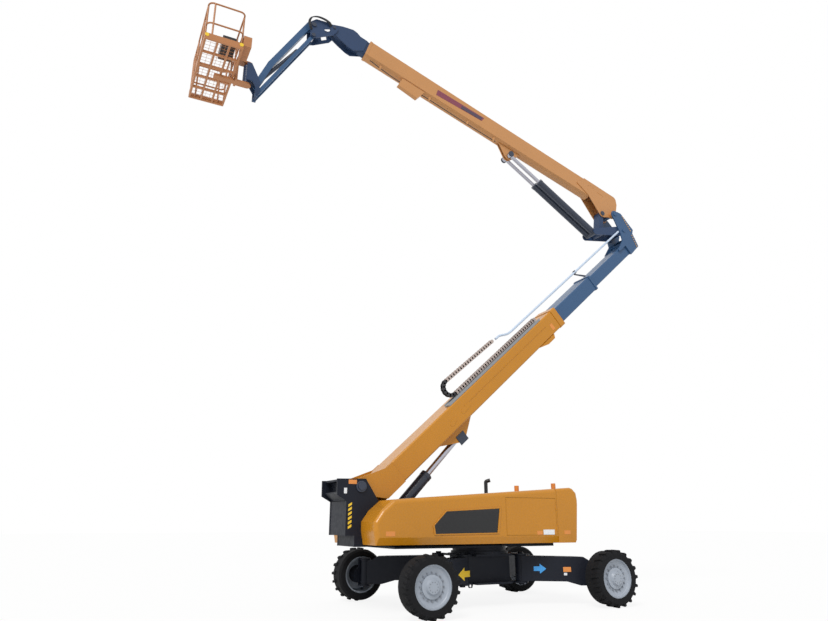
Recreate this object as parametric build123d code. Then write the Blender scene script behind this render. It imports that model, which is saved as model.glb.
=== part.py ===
"""Articulating boom lift with a telescopic tower, a main boom and a jib, parked with its booms up.

Origin on the ground under the slewing axis, +X towards the counterweight, +Y to the far side, +Z up.
Millimetres and degrees. Side views are drawn as (x, z) and carried across the machine along Y.
"""
from build123d import *
from math import atan2, cos, degrees, hypot, pi, radians, sin, sqrt
import os

# --- wheels and undercarriage ---
TYRE_RADIUS = 577.5
TYRE_WIDTH = 445
LUG_HEIGHT = 32
LUGS_PER_SIDE = 19
RIM_RADIUS = 392
WHEEL_BASE = 4440
TRACK = 3510
KINGPIN_OFFSET = 430          # from the wheel's middle plane in to the steering pin
ARM_HINGE = (760, 520)        # swing arm hinge, x and y from the slewing axis
ARM_TOP = 1012
ARM_BOTTOM = 490
FRAME_PLATE = 38
TIE_DOWN_RADIUS = 30
PIN_CLEARANCE = 0.1
RUNNING_GAP = 6
SEAT = 0.3                     # between pieces that stand on each other

# --- turntable ---
DECK_BOTTOM = 1200
DECK_TOP = 1325
WING_BOTTOM = 1290             # underside of the deck beside the tower's channel
HOOD_BOTTOM = 1288
HOOD_OUTER = 1215
CHANNEL = 430                 # half width left open for the tower between the hoods
HOOD_INNER = 500
HOOD_WALL = 12
HOOD_SEAM_FRONT = -45
HOOD_SEAM_REAR = 1320
TAIL_X = 1918                  # rear face of the counterweight, at its top
SEAM_GAP = 6

# --- tower boom: local frame (u along, y across, v up) from its pivot pin ---
TOWER_PIVOT = (-3104, 2417)
TOWER_ANGLE = 41.8
BASE_WIDTH, BASE_DEPTH, BASE_MIDDLE, BASE_END = 680, 515, -358.5, 7213
MID_START, MID_END = 2400, 9000
HEAD_START, HEAD_END = 4300, 10953
TUBE_WALL, MID_WALL, HEAD_WALL = 12, 10, 10
BASE_PAD, MID_PAD = 34, 30    # slide pads between the sections
SLIDE_GAP = 0.4
MID_WIDTH = BASE_WIDTH - 2 * (TUBE_WALL + BASE_PAD)
MID_DEPTH = BASE_DEPTH - 2 * (TUBE_WALL + BASE_PAD)
HEAD_WIDTH = MID_WIDTH - 2 * (MID_WALL + MID_PAD)
HEAD_DEPTH = MID_DEPTH - 2 * (MID_WALL + MID_PAD)
LIFT_LUG = (2730, -845)       # tower lift cylinder's upper pin, in the tower's frame
LIFT_BASE = (-2600, 1400)     # its lower pin, on the turntable
ELBOW_PIN = (11372, 681)      # main boom's pivot, in the tower's frame
YOKE_PIN = (11269, 127)

# --- main boom: local frame (x from the elbow pin towards its root end, z up) ---
BOOM_ANGLE = 18.6
BOOM_WIDTH, BOOM_DEPTH, BOOM_BOTTOM = 520, 480, 90
BOOM_TIP = -8590
BOOM_LUG = (-3757, -70)
LINK_PIN = (-333, -107)
TIP_PIN = (-9571, 376)

# --- jib and platform, in the machine's frame ---
JIB_LENGTH = 2520
JIB_ANGLE = 239.5
JIB_PIN = (-4575, 13790)
JIB_SPREAD = 320
ROTATOR_X = -6080
BASKET_X = (-7220, -6430)
BASKET_HALF = 1130
FLOOR_Z = 11600
RAIL_HEIGHT = 1000
RAIL_TUBE = 19
GATE = (250, 750)
MID_RAIL_Z = FLOOR_Z + 450
KICK_HEIGHT = 150
DECK = FLOOR_Z + 54             # top of the platform's grating


def between(sketch, y_low, y_high):
    """Side view (x, z) carried across the machine from one y to another."""
    return extrude(Plane.XZ.offset(-y_high) * sketch, y_high - y_low, dir=(0, -1, 0))


def both_sides(sketch, y_low, y_high):
    """The same plate on the near and the far side."""
    return between(sketch, y_low, y_high) + between(sketch, -y_high, -y_low)


def outline(*points):
    return make_face(Polyline(*points, close=True))


def disc(point, radius):
    return Pos(*point) * Circle(radius)


def strap(start, end, start_radius, end_radius):
    """Side view of a link or lug that narrows from one round eye to another."""
    eyes = disc(start, start_radius) + disc(end, end_radius)
    return make_hull(eyes.edges())


def block(x_low, x_high, y_low, y_high, z_low, z_high):
    size = (x_high - x_low, y_high - y_low, z_high - z_low)
    return Pos(x_low, y_low, z_low) * Box(*size, align=(Align.MIN, Align.MIN, Align.MIN))


def box_tube(width, depth, middle, start, end, wall, corner):
    """Rectangular boom section along X, open through its length."""
    outer = RectangleRounded(width, depth, corner)
    inner = RectangleRounded(width - 2 * wall, depth - 2 * wall, max(corner - wall, 4))
    return extrude(Plane.YZ.offset(start) * (Pos(0, middle) * (outer - inner)), end - start)


def rod(start, end, radius, bore=0):
    """Round bar or tube between two points."""
    path = Vector(*end) - Vector(*start)
    ring = Circle(radius) - Circle(bore) if bore else Circle(radius)
    return extrude(Plane(origin=start, z_dir=path) * ring, path.length)


def bent_tube(points, radius, bend):
    path = FilletPolyline(*points, radius=bend)
    return sweep(Plane(origin=path @ 0, z_dir=path % 0) * Circle(radius), path=path)


def to_world(frame_origin, angle, point):
    """A (along, up) point of a boom's frame, in the machine's side view."""
    a = radians(angle)
    x = frame_origin[0] + point[0] * cos(a) - point[1] * sin(a)
    return (x, frame_origin[1] + point[0] * sin(a) + point[1] * cos(a))


def to_local(frame_origin, angle, point):
    a = radians(angle)
    dx, dz = point[0] - frame_origin[0], point[1] - frame_origin[1]
    return (dx * cos(a) + dz * sin(a), -dx * sin(a) + dz * cos(a))


TOWER = Pos(TOWER_PIVOT[0], 0, TOWER_PIVOT[1]) * Rot(0, -TOWER_ANGLE, 0)
ELBOW = to_world(TOWER_PIVOT, TOWER_ANGLE, ELBOW_PIN)
BOOM = Pos(ELBOW[0], 0, ELBOW[1]) * Rot(0, BOOM_ANGLE, 0)


def boom_point(point):
    return to_world(ELBOW, -BOOM_ANGLE, point)


nodes = {}


# --- chassis ---
def plan_plate(sketch, z_low, z_high):
    return extrude(Plane.XY.offset(z_low) * sketch, z_high - z_low)


def chassis_frame():
    hx, hy = ARM_HINGE
    lobes = [Pos(sx * hx, sy * hy) * Circle(150) for sx in (-1, 1) for sy in (-1, 1)]
    plan = Rectangle(1500, 900) + Rectangle(900, 1240)
    for lobe in lobes:
        plan += lobe
    frame = plan_plate(plan, ARM_TOP + RUNNING_GAP, ARM_TOP + RUNNING_GAP + FRAME_PLATE)
    frame += plan_plate(plan, ARM_BOTTOM - RUNNING_GAP - FRAME_PLATE, ARM_BOTTOM - RUNNING_GAP)
    frame += plan_plate(Rectangle(1060, 820) - Rectangle(1000, 760), ARM_BOTTOM - RUNNING_GAP, ARM_TOP + RUNNING_GAP)
    for sx in (-1, 1):
        for sy in (-1, 1):
            frame += plan_plate(Pos(sx * hx, sy * hy) * Circle(62), ARM_BOTTOM - 80, ARM_TOP + 80)
    frame += Pos(0, 0, ARM_TOP) * Cylinder(640, 100, align=(Align.CENTER, Align.CENTER, Align.MIN))
    bottom = ARM_BOTTOM - RUNNING_GAP - FRAME_PLATE
    lug = outline((330, bottom + 5), (470, bottom + 5), (440, bottom - 85), (360, bottom - 85)) - disc((400, bottom - 45), TIE_DOWN_RADIUS)
    for y in (-250, 250):
        plate = between(lug, y - 12.5, y + 12.5)
        frame += plate + mirror(plate, about=Plane.YZ)
    return frame


nodes["chassis_frame"] = chassis_frame()
bearing_bottom = ARM_TOP + 100
nodes["slew_bearing"] = Pos(0, 0, bearing_bottom) * (
    Cylinder(600, DECK_BOTTOM - bearing_bottom, align=(Align.CENTER, Align.CENTER, Align.MIN))
    - Cylinder(480, 200, align=(Align.CENTER, Align.CENTER, Align.MIN))
)

KINGPIN = (WHEEL_BASE / 2, TRACK / 2 - KINGPIN_OFFSET)
ARM_LENGTH = hypot(KINGPIN[0] - ARM_HINGE[0], KINGPIN[1] - ARM_HINGE[1])
ARM_YAW = degrees(atan2(KINGPIN[1] - ARM_HINGE[1], KINGPIN[0] - ARM_HINGE[0]))
KING_LOW, KING_HIGH = 400, 900


def swing_arm():
    """Arm of the front far wheel, from its hinge to its kingpin."""
    side = outline(
        (0, ARM_TOP), (1180, ARM_TOP - 20), (1380, 985), (1525, KING_HIGH), (ARM_LENGTH, KING_HIGH),
        (ARM_LENGTH, KING_LOW), (1280, KING_LOW), (980, ARM_BOTTOM - 8), (220, ARM_BOTTOM), (0, ARM_BOTTOM),
    )
    plan = outline((0, -150), (900, -140), (ARM_LENGTH, -85), (ARM_LENGTH, 85), (900, 140), (0, 150))
    arm = between(side, -150, 150) & plan_plate(plan, 0, 2000)
    arm += plan_plate(Circle(128), ARM_BOTTOM, ARM_TOP)
    arm += plan_plate(Pos(ARM_LENGTH, 0) * Circle(100), KING_LOW, KING_HIGH)
    arm -= plan_plate(Circle(62 + PIN_CLEARANCE), 0, 2000)
    arm -= plan_plate(Pos(ARM_LENGTH, 0) * Circle(45 + PIN_CLEARANCE), 0, 2000)
    return Pos(*ARM_HINGE, 0) * Rot(0, 0, ARM_YAW) * arm


def knuckle():
    """Steering yoke round the arm's end, with the hub drive that carries the wheel."""
    kx, ky = KINGPIN
    low, high = KING_LOW - RUNNING_GAP, KING_HIGH + RUNNING_GAP
    plan = Pos(kx, ky) * (Circle(110) + Pos(0, 75) * Rectangle(220, 150))
    piece = plan_plate(plan, high, high + 36) + plan_plate(plan, low - 36, low)
    piece += plan_plate(Pos(kx, ky + 135) * Rectangle(220, 40), low - 36, high + 36)
    piece += plan_plate(Pos(kx, ky) * Circle(45), low - 36, high + 36)
    hub = Plane(origin=(kx, ky + 155, TYRE_RADIUS), z_dir=(0, 1, 0)) * Circle(190)
    piece += extrude(hub, KINGPIN_OFFSET - 155 + TYRE_WIDTH / 2 - 118 - 0.3)
    return piece


def wheel_rim():
    """Stepped disc rim and hub cap, turned about the axle."""
    half = TYRE_WIDTH / 2
    r = RIM_RADIUS
    profile = outline(
        (r - 30, -half + 20), (r, -half + 20), (r, half - 20), (r - 22, half - 20),
        (r - 40, half - 60), (r - 60, half - 75), (r - 120, half - 88), (215, half - 95), (212, half - 60),
        (150, half - 50), (120, half - 5), (0, half - 5), (0, half - 62), (190, half - 118),
        (r - 70, half - 110), (r - 30, half - 60),
    )
    return revolve(Plane.XY * profile, Axis.Y)


def tyre():
    """Flat-faceted carcass with slanting lugs fused to both halves of the tread."""
    half = TYRE_WIDTH / 2
    tread = TYRE_RADIUS - LUG_HEIGHT
    shoulder = 45
    rings = ((-half, tread - shoulder), (-half + shoulder, tread), (half - shoulder, tread), (half, tread - shoulder))
    sections = [Plane.XZ.offset(-y) * RegularPolygon(radius, 2 * LUGS_PER_SIDE) for y, radius in rings]
    carcass = loft(sections, ruled=True) - Rot(90, 0, 0) * Cylinder(RIM_RADIUS + SEAT, TYRE_WIDTH + 20)
    lug_root = tread - shoulder - 6
    lugs = []
    for side, phase in ((-1, 0), (1, 0.5)):
        inner, outer = side * 8, side * (half - 2)
        foot = Polygon((34, inner), (64, outer), (-10, outer), (-50, inner), align=None)
        lug = extrude(Plane.XY.offset(lug_root) * foot, TYRE_RADIUS - 1 - lug_root, taper=9)
        lugs += [Rot(0, 360 / LUGS_PER_SIDE * (k + phase), 0) * lug for k in range(LUGS_PER_SIDE)]
    return carcass.fuse(*lugs)


CORNERS = {"front_far": (1, 1), "front_near": (1, -1), "rear_far": (-1, 1), "rear_near": (-1, -1)}
arm_model, knuckle_model = swing_arm(), knuckle()
wheel_place = Pos(WHEEL_BASE / 2, TRACK / 2, TYRE_RADIUS)
rim_model, tyre_model = wheel_place * wheel_rim(), wheel_place * tyre()


def at_corner(model, end, side):
    """Copy of a front far piece at another corner, by mirroring."""
    if end < 0:
        model = mirror(model, about=Plane.YZ)
    if side < 0:
        model = mirror(model, about=Plane.XZ)
    return model


for corner, (end, side) in CORNERS.items():
    nodes[f"swing_arm_{corner}"] = at_corner(arm_model, end, side)
    nodes[f"knuckle_{corner}"] = at_corner(knuckle_model, end, side)
    nodes[f"rim_{corner}"] = at_corner(rim_model, end, side)
    nodes[f"tyre_{corner}"] = at_corner(tyre_model, end, side)


# --- turntable ---
PIVOT_INNER = 450


def turntable_frame():
    centre = outline((-2430, -700), (-700, -760), (150, -740), (620, -300), (620, 300), (150, 740), (-700, 760), (-2430, 700))
    frame = plan_plate(centre, DECK_BOTTOM, DECK_BOTTOM + 40)
    x0, z0 = TOWER_PIVOT
    plates = outline(
        (x0 - 126, 1245), (x0 - 126, 1460), (x0 - 320, 1460), (x0 - 320, 2130), (x0 - 520, 2240), (x0 - 524, z0 + 148),
        (x0 + 104, z0 + 160), (x0 + 366, z0 - 240), (x0 + 480, 1700), (x0 + 800, DECK_TOP), (x0 + 800, 1245),
    )
    frame += both_sides(plates, PIVOT_INNER, PIVOT_INNER + 40)
    frame += block(x0 - 310, x0 - 270, -PIVOT_INNER, PIVOT_INNER, 1462, 2130)
    frame += block(x0 - 310, x0 - 80, -PIVOT_INNER, PIVOT_INNER, 1462, 1490)
    frame += block(x0 - 120, x0 - 80, -PIVOT_INNER, PIVOT_INNER, 1250, 1490)
    for side in (-1, 1):
        low, high = sorted((side * (CHANNEL - 20), side * (CHANNEL + 20)))
        frame += block(-2430, TAIL_X - 160, low, high, DECK_BOTTOM, 1400)
        frame += block(x0 - 80, -2430, low, high, 1245, 1400)
        low, high = sorted((side * (CHANNEL - 20), side * (HOOD_OUTER - 62)))
        frame += block(-3000, TAIL_X - 160, low, high, WING_BOTTOM, DECK_TOP)
    frame += block(x0 - 100, -2300, -CHANNEL, CHANNEL, 1245, 1278)
    lug = strap(LIFT_BASE, (LIFT_BASE[0], 1300), 110, 130)
    frame += both_sides(lug - Pos(LIFT_BASE[0], 1100) * Rectangle(400, 300), 135, 175)
    frame += between(disc(LIFT_BASE, 55), -185, 185)
    frame += between(disc(TOWER_PIVOT, 70), -PIVOT_INNER - 44, PIVOT_INNER + 44)
    return frame


nodes["turntable_frame"] = turntable_frame()


def hood_top(x):
    """Height of the hood's roof, which rises towards the counterweight."""
    return 2342 + (x + 45) * 0.0725


def hood_solid(inset):
    """One long hood over a side of the turntable; inset draws the inside of its wall."""
    low = HOOD_BOTTOM - inset * 3
    side = outline(
        (-3045 + inset, low), (-3092 + inset, 1560), (-3092 + inset, 1725), (-2935 + inset * 0.8, 1945 - inset * 0.6),
        (-2690, hood_top(-2690) - 8 - inset), (-2440, hood_top(-2440) - inset),
        (HOOD_SEAM_REAR, hood_top(HOOD_SEAM_REAR) - inset), (HOOD_SEAM_REAR, low),
    )
    shape = between(side, HOOD_INNER + inset, HOOD_OUTER - inset)
    long_edges = [e for e in shape.edges() if e.center().Y > HOOD_OUTER - inset - 1 and e.center().X < HOOD_SEAM_REAR - 50
                  and e.center().Z > HOOD_BOTTOM + 50]
    shape = fillet(long_edges, 90 - inset)
    drop, lean = 140, 45              # the skirt's lower band leans in
    band = Polygon((HOOD_OUTER - inset - lean, low), (HOOD_OUTER + 100, low), (HOOD_OUTER + 100, HOOD_BOTTOM + drop),
                   (HOOD_OUTER - inset, HOOD_BOTTOM + drop), align=None)
    return shape - extrude(Plane.YZ.offset(-3200) * band, 5000)


door_opening = (HOOD_SEAM_FRONT, HOOD_SEAM_REAR - 30, 1450, 2230)
x_low, x_high, z_low, z_high = door_opening
hood = hood_solid(0) - hood_solid(HOOD_WALL) - block(x_low, x_high, HOOD_OUTER - 60, HOOD_OUTER + 60, z_low, z_high)
hood -= block(-3010, TAIL_X, HOOD_INNER - 100, HOOD_OUTER - 60, HOOD_BOTTOM - 10, DECK_TOP + SEAT)
door = block(x_low + SEAM_GAP, x_high - SEAM_GAP, HOOD_OUTER - HOOD_WALL, HOOD_OUTER, z_low + SEAM_GAP, z_high - SEAM_GAP)
for z in (1560, 2010):
    at_hinge = (x_high, HOOD_OUTER)
    hood -= rod((*at_hinge, z - 32), (*at_hinge, z + 112), 15)
    hood += rod((*at_hinge, z - 31), (*at_hinge, z - 2), 13) + rod((*at_hinge, z + 82), (*at_hinge, z + 111), 13)
    hood += rod((*at_hinge, z - 31), (*at_hinge, z + 111), 6) + block(x_high + 10, x_high + 18, HOOD_OUTER - 12, HOOD_OUTER, z - 31, z - 2)
    hood += block(x_high + 10, x_high + 18, HOOD_OUTER - 12, HOOD_OUTER, z + 82, z + 111)
    door -= rod((*at_hinge, z - 33), (*at_hinge, z + 113), 15)
    door += rod((*at_hinge, z), (*at_hinge, z + 80), 13, 6 + PIN_CLEARANCE) + block(
        x_high - 17, x_high - 11, HOOD_OUTER - HOOD_WALL, HOOD_OUTER, z, z + 80)
nodes["hood_far"] = hood
nodes["hood_near"] = mirror(hood, about=Plane.XZ)
nodes["hood_door_far"] = door
nodes["hood_door_near"] = mirror(door, about=Plane.XZ)


def tail_weight():
    x = HOOD_SEAM_REAR + SEAM_GAP
    side = outline((x, HOOD_BOTTOM), (TAIL_X - 130, HOOD_BOTTOM), (TAIL_X - 98, 1345), (TAIL_X, 2300), (TAIL_X - 10, 2360), (TAIL_X - 110, 2452),
                   (TAIL_X - 180, hood_top(TAIL_X - 180)), (x, hood_top(x)))
    mass = between(side, -HOOD_OUTER, HOOD_OUTER)
    mass -= block(1000, 3000, -CHANNEL, CHANNEL, 1700, 3000)
    mass -= block(1000, TAIL_X - 150, -HOOD_OUTER + 50, HOOD_OUTER - 50, HOOD_BOTTOM - 10, DECK_TOP)
    mass -= block(1000, TAIL_X - 150, -CHANNEL - 30, CHANNEL + 30, HOOD_BOTTOM - 10, 1410)
    edges = [e for e in mass.edges() if abs(abs(e.center().Y) - HOOD_OUTER) < 1 and e.center().Z > 2300 and e.length > 60]
    return fillet(edges, 60)


nodes["tail_weight"] = tail_weight()
nodes["engine_block"] = block(100, 1250, 560, 1120, DECK_TOP, 2050)
box_x = TOWER_PIVOT[0]
box_side = outline((box_x - 314, 2140), (box_x - 314, 2170), (box_x - 462, 2285), (box_x - 465, 2560), (box_x - 235, 2560), (box_x - 235, 2140))
front_box = between(box_side, SEAT - PIVOT_INNER, PIVOT_INNER - SEAT)
nodes["front_box"] = front_box - block(box_x - 500, box_x - 330, -PIVOT_INNER + 40, PIVOT_INNER - 40, 2310, 2520)
pipe_foot = (600, 560)
under_roof = outline((400, 2000), (800, 2000), (800, hood_top(800) + SEAT), (400, hood_top(400) + SEAT))
pipe = rod((*pipe_foot, 2300), (*pipe_foot, 2600), 45) - between(under_roof, 0, 1200)
elbow = bent_tube([(*pipe_foot, 2595), (*pipe_foot, 2670), (pipe_foot[0] + 90, pipe_foot[1] - 60, 2700)], 45, 40)
nodes["exhaust"] = pipe + elbow
beacons = Part()
for x, z in ((477, hood_top(477)), (1505, hood_top(1505))):
    beacons += Pos(x, -900, z - 5) * Cylinder(52, 122, align=(Align.CENTER, Align.CENTER, Align.MIN))
roofs = Pos(0, 0, SEAT) * (nodes["hood_near"] + nodes["tail_weight"])
nodes["beacons"] = beacons - roofs


# --- tower boom ---
def tower_base():
    top = BASE_MIDDLE + BASE_DEPTH / 2
    bottom = BASE_MIDDLE - BASE_DEPTH / 2
    tube = box_tube(BASE_WIDTH, BASE_DEPTH, BASE_MIDDLE, 300, BASE_END, TUBE_WALL, 40)
    collar = box_tube(BASE_WIDTH + 30, BASE_DEPTH + 30, BASE_MIDDLE, BASE_END - 180, BASE_END, 30, 50)
    inner = box_tube(BASE_WIDTH - 2 * TUBE_WALL, BASE_DEPTH - 2 * TUBE_WALL, BASE_MIDDLE, BASE_END - 180, BASE_END,
                     BASE_PAD - SLIDE_GAP, 28)
    piece = tube + collar
    root = outline((-165, 40), (-60, 165), (120, 130), (720, top), (900, top), (900, bottom), (350, bottom), (-60, -165), (-165, -40))
    piece += both_sides(root, BASE_WIDTH / 2 - 1, BASE_WIDTH / 2 + 30)
    piece += between(disc((0, 0), 150), -400, 400)
    piece -= between(disc((0, 0), 70 + PIN_CLEARANCE), -500, 500)
    piece += block(300, 340, -BASE_WIDTH / 2 + 5, BASE_WIDTH / 2 - 5, bottom + 5, top - 5)
    u, v = LIFT_LUG
    lug = outline((u - 650, bottom + 2), (u - 110, v - 75), (u + 100, v - 75), (u + 600, bottom + 2), (u + 600, bottom + 8), (u - 650, bottom + 8))
    piece += both_sides(lug, 150, 185)
    piece += both_sides(outline((6050, bottom + 1), (6350, bottom - 95), (6640, bottom - 95), (6700, bottom + 1)), 250, BASE_WIDTH / 2)
    return piece + inner


nodes["tower_base"] = TOWER * tower_base()
mid_tube = box_tube(MID_WIDTH, MID_DEPTH, BASE_MIDDLE, MID_START, MID_END, MID_WALL, 34)
mid_tube += box_tube(MID_WIDTH + 40, MID_DEPTH + 40, BASE_MIDDLE, MID_END - 60, MID_END, 30, 30)
mid_tube += box_tube(MID_WIDTH - 2 * MID_WALL, MID_DEPTH - 2 * MID_WALL, BASE_MIDDLE, MID_END - 160, MID_END,
                     MID_PAD - SLIDE_GAP, 24)
nodes["tower_mid"] = TOWER * mid_tube

EAR_INNER = 262


def tower_head():
    top = BASE_MIDDLE + HEAD_DEPTH / 2
    tube = box_tube(HEAD_WIDTH, HEAD_DEPTH, BASE_MIDDLE, HEAD_START, HEAD_END + 60, HEAD_WALL, 28)
    bu, bv = ELBOW_PIN
    cheek = outline(
        (HEAD_END, -558), (11400, -534), (11510, -125), (11622, -56), (11602, 561), (bu + 90, bv + 62),
        (bu + 20, bv + 108), (bu - 60, bv + 92), (bu - 108, bv + 20), (11188, 437), (11090, 119), (10981, -79), (10620, top + 8), (10620, top - 60), (HEAD_END, top - 60),
    )
    piece = tube + both_sides(cheek, EAR_INNER, EAR_INNER + 38)
    piece += block(HEAD_END, 11390, -EAR_INNER - 1, EAR_INNER + 1, -540, -505)
    piece += block(11350, 11390, -EAR_INNER - 1, EAR_INNER + 1, -540, -130)
    piece += block(HEAD_END + 20, HEAD_END + 60, -EAR_INNER - 1, EAR_INNER + 1, -540, -130)
    piece += between(disc(ELBOW_PIN, 60), -EAR_INNER - 60, EAR_INNER + 60)
    piece += between(disc(YOKE_PIN, 50), -EAR_INNER - 60, EAR_INNER + 60)
    return piece


nodes["tower_head"] = TOWER * tower_head()

lug_world = to_world(TOWER_PIVOT, TOWER_ANGLE, LIFT_LUG)
lift_dir = (Vector(lug_world[0], 0, lug_world[1]) - Vector(LIFT_BASE[0], 0, LIFT_BASE[1])).normalized()
lift_from = Vector(LIFT_BASE[0], 0, LIFT_BASE[1])
lift_to = Vector(lug_world[0], 0, lug_world[1])
BARREL_END = 1850
barrel = rod(lift_from + lift_dir * 120, lift_from + lift_dir * BARREL_END, 128, 100)
barrel += rod(lift_from + lift_dir * 60, lift_from + lift_dir * 200, 120)
barrel += rod(lift_from + lift_dir * (BARREL_END - 90), lift_from + lift_dir * BARREL_END, 134, 70.5)
barrel += between(disc(LIFT_BASE, 115), -125, 125)
nodes["tower_lift_barrel"] = barrel - between(disc(LIFT_BASE, 55 + PIN_CLEARANCE), -300, 300)
lift_rod = rod(lift_from + lift_dir * 1100, lift_to - lift_dir * 60, 70)
lift_rod += rod(lift_from + lift_dir * 1100, lift_from + lift_dir * 1180, 99.6)
lift_rod += between(disc(lug_world, 62), -140, 140)
nodes["tower_lift_rod"] = lift_rod

# cable track on the tower
track = block(2900, 6400, -330, -120, -100, -60)
track += between(strap((3080, 130), (4900, 330), 160, 60) - strap((3080, 130), (4900, 330), 110, 20), -250, -150)
track += between(outline((2900, -70), (3060, -70), (3060, 0), (2900, 0)), -250, -150)
nodes["cable_track"] = TOWER * track
tube = rod((5075, -290, 330), (10590, -290, 215), 18)
tube += block(10545, 10595, -312, -264, -250, 210) + block(10545, 10595, -312, -HEAD_WIDTH / 2, -250, -190)
nodes["cable_tube"] = TOWER * tube

# --- elbow linkage ---
yoke_pin = to_world(TOWER_PIVOT, TOWER_ANGLE, YOKE_PIN)
YOKE_LINK = (4485, 9871)
YOKE_TAIL = (4194, 9810)
link_top = boom_point(LINK_PIN)
PLATE_IN, PLATE_OUT = 224, 256
yoke_side = strap(yoke_pin, YOKE_TAIL, 150, 100) - disc(yoke_pin, 50 + PIN_CLEARANCE)
yoke = both_sides(yoke_side, PLATE_IN, PLATE_OUT)
yoke += between(disc(YOKE_LINK, 50), -PLATE_IN - 1, PLATE_IN + 1)
yoke += both_sides(disc(YOKE_TAIL, 40), PLATE_IN - 8, PLATE_IN + 1)
yoke += between(disc(yoke_pin, 90) - disc(yoke_pin, 50 + PIN_CLEARANCE), -PLATE_IN - 1, PLATE_IN + 1)
nodes["elbow_yoke"] = yoke
link = between(strap(YOKE_LINK, link_top, 85, 75) - disc(YOKE_LINK, 50 + PIN_CLEARANCE), -190, 190)
nodes["elbow_link"] = link


# --- main boom ---
def main_boom():
    middle = BOOM_BOTTOM + BOOM_DEPTH / 2
    top = BOOM_BOTTOM + BOOM_DEPTH
    tube = box_tube(BOOM_WIDTH, BOOM_DEPTH, middle, BOOM_TIP, -1000, TUBE_WALL, 30)
    root = outline(
        (-1250, top), (-60, 540), (10, 340), (95, 60), (60, -75), (-60, -100), (-185, -254), (-399, -270), (-1054, BOOM_BOTTOM + 2), (-1250, BOOM_BOTTOM + 2),
    )
    piece = tube + both_sides(root - disc((0, 0), 60 + PIN_CLEARANCE), PLATE_IN, PLATE_OUT)
    piece += block(-1050, -20, -PLATE_IN - 1, PLATE_IN + 1, top - 40, top - 22)
    piece += block(-1040, -1010, -PLATE_IN - 1, PLATE_IN + 1, BOOM_BOTTOM + 20, top - 20)
    piece += both_sides(disc(LINK_PIN, 55), PLATE_IN - 10, PLATE_OUT + 1)
    x, z = BOOM_LUG
    lug = outline((x - 420, BOOM_BOTTOM + 1), (x - 110, z - 95), (x + 110, z - 95), (x + 360, BOOM_BOTTOM + 1))
    piece += both_sides(lug, 232, 257) + both_sides(lug, 20, 50) + between(disc(BOOM_LUG, 45), -268, 268)
    inner = box_tube(BOOM_WIDTH - 2 * TUBE_WALL, BOOM_DEPTH - 2 * TUBE_WALL, middle, BOOM_TIP, BOOM_TIP + 150,
                     30 - SLIDE_GAP, 20)
    return piece + inner


nodes["main_boom"] = BOOM * main_boom()


def main_tip():
    middle = BOOM_BOTTOM + BOOM_DEPTH / 2
    width = BOOM_WIDTH - 2 * TUBE_WALL - 60
    depth = BOOM_DEPTH - 2 * TUBE_WALL - 60
    tube = box_tube(width, depth, middle, -8820, -3400, 10, 20)
    tx, tz = TIP_PIN
    hump = outline((-8700, 520), (-8900, 560), (-9100, 640), (-9330, 640), (tx - 40, tz + 105), (tx - 115, tz), (tx - 40, tz - 110), (-9048, 30), (-8820, 110), (-8700, 130))
    piece = tube + both_sides(hump, 190, 217)
    piece += block(-8850, -8700, -191, 191, 150, 180)
    return piece + between(disc(TIP_PIN, 40), -235, 235)


nodes["main_tip"] = BOOM * main_tip()

# --- main lift cylinders, a pair ---
lug_boom = boom_point(BOOM_LUG)
eye = Vector(lug_boom[0], 0, lug_boom[1])
tail = Vector(YOKE_TAIL[0], 0, YOKE_TAIL[1])
to_tail = (tail - eye).normalized()
reach = (tail - eye).length
LIFT_SPREAD = 115
barrels, rods = Part(), Part()
for y in (-LIFT_SPREAD, LIFT_SPREAD):
    shift = Vector(0, y, 0)
    barrels += rod(eye + shift + to_tail * (reach - 2250), eye + shift + to_tail * (reach - 50), 92, 76)
    barrels += rod(eye + shift + to_tail * (reach - 140), eye + shift + to_tail * (reach - 50), 90)
    barrels += rod(eye + shift + to_tail * (reach - 2250), eye + shift + to_tail * (reach - 2170), 100, 50.5)
    rods += rod(eye + shift + to_tail * 60, eye + shift + to_tail * (reach - 700), 50)
    rods += rod(eye + shift + to_tail * (reach - 770), eye + shift + to_tail * (reach - 700), 75.6)
    rods += between(disc(lug_boom, 70) - disc(lug_boom, 45 + PIN_CLEARANCE), y - 55, y + 55)
barrels += between(disc(YOKE_TAIL, 72), -198, 198)
nodes["main_lift_barrels"] = barrels
nodes["main_lift_rods"] = rods

# --- jib ---
jib_a = radians(JIB_ANGLE)
jib_dir = (cos(jib_a), sin(jib_a))
jib_low = (JIB_PIN[0], JIB_PIN[1] - JIB_SPREAD)
arm_end = (JIB_PIN[0] + JIB_LENGTH * jib_dir[0], JIB_PIN[1] + JIB_LENGTH * jib_dir[1])
link_end = (arm_end[0], arm_end[1] - JIB_SPREAD)
tip_pin = boom_point(TIP_PIN)


def along_jib(s, offset):
    """Point of the jib's side view, s along from its pin and offset out to its upper side."""
    return (JIB_PIN[0] + s * jib_dir[0] + offset * jib_dir[1], JIB_PIN[1] + s * jib_dir[1] - offset * jib_dir[0])


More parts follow.
